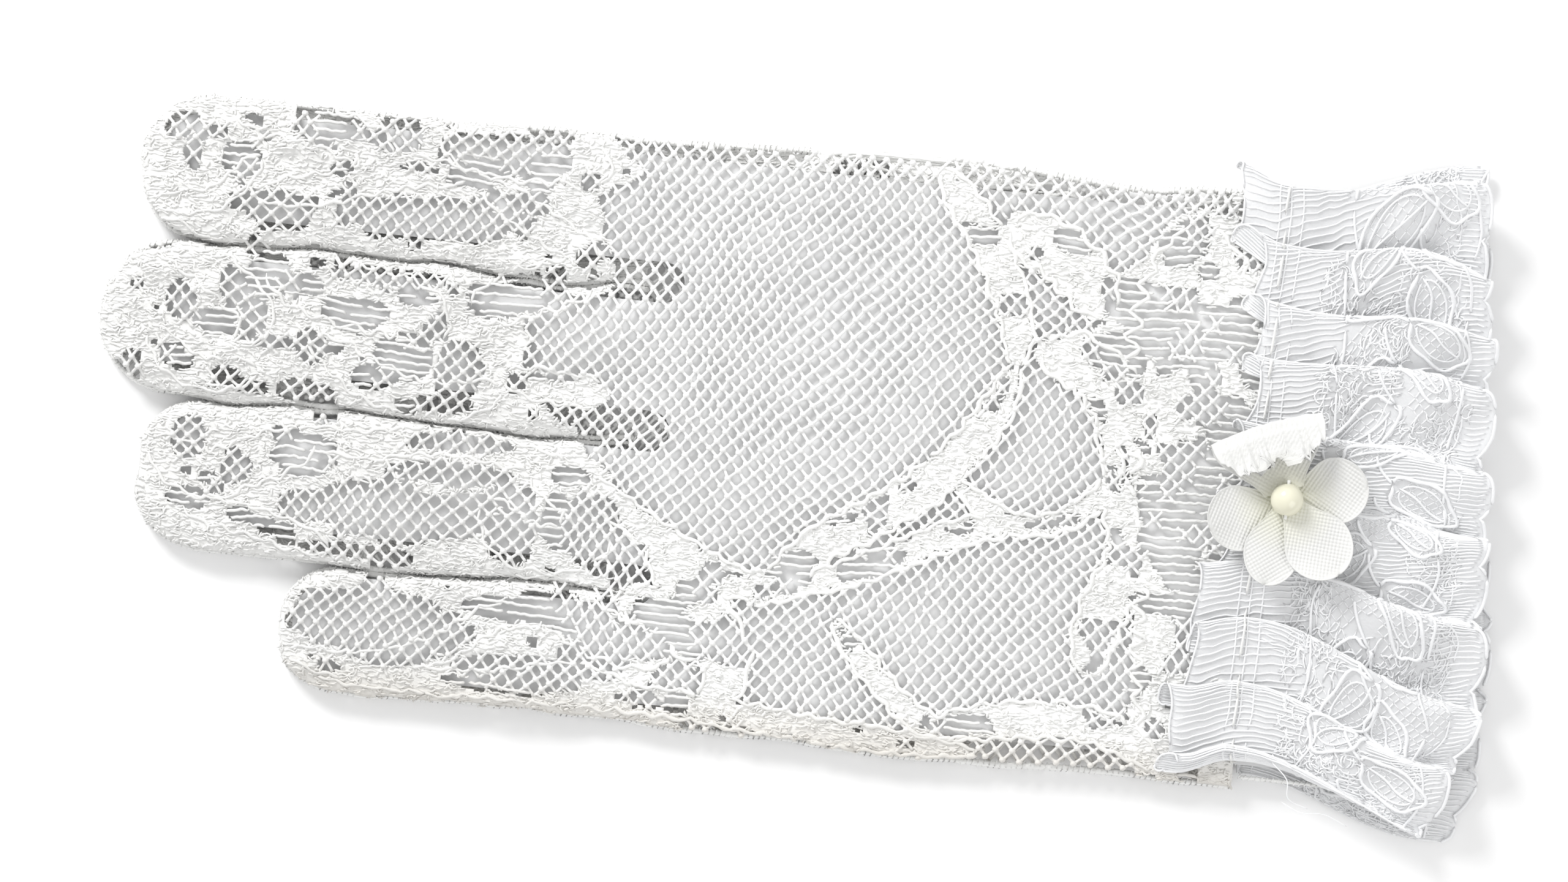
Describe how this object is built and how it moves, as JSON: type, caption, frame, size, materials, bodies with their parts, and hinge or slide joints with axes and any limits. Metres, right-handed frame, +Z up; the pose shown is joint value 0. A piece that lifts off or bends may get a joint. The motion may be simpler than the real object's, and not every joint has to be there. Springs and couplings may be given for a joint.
{
  "type": "lace wedding glove",
  "caption": "Short left-hand lace bridal glove lying on its insert card, with a gathered lace ruffle at the cuff and a fabric flower with a pearl.",
  "frame": {"origin": "on the table, under the centre of the glove's bounding box", "axes": "+X from the fingertips to the cuff, +Y from the little finger to the index finger, +Z up out of the back of the hand"},
  "size_m": [0.226, 0.11, 0.0125],
  "materials": {
    "lace": "white raschel lace, matt",
    "seam": "white overlock seam",
    "trim": "sheer white lace trim",
    "thread": "white sewing thread",
    "petal": "off-white woven fabric",
    "backing": "off-white felt",
    "pearl": "ivory pearl coat",
    "card": "pale grey smooth card"
  },
  "bodies": {
    "glove": {"back_lace_panel": "lace", "palm_lace_panel": "lace", "seam_index_finger": "seam", "seam_middle_finger": "seam", "seam_ring_finger": "seam", "seam_little_finger": "seam", "seam_index_side_upper": "seam", "seam_index_side_lower": "seam", "seam_little_side": "seam", "ruffle_upper": "trim", "ruffle_lower": "trim", "ruffle_join_seam": "seam", "gathering_thread_upper": "thread", "gathering_thread_lower": "thread", "flower_backing": "backing", "petal_cuff_side": "petal", "petal_index_side": "petal", "petal_finger_side": "petal", "petal_little_side": "petal", "petal_corner": "petal", "pearl": "pearl", "pearl_thread": "thread"},
    "card": {"insert_card": "card"},
    "thumb": {"thumb_back_panel": "lace", "thumb_palm_panel": "lace", "seam_thumb": "seam"}
  },
  "joints": [
    {"name": "card_slide", "type": "slide", "parent": "glove", "child": "card", "axis": [1, 0, 0], "range_m": [0, 0.225]},
    {"name": "thumb_fold", "type": "hinge", "parent": "glove", "child": "thumb", "pos_m": [0.014, 0.0472, 0.0015], "axis": [1, 0, 0], "range_deg": [0, 180]}
  ]
}
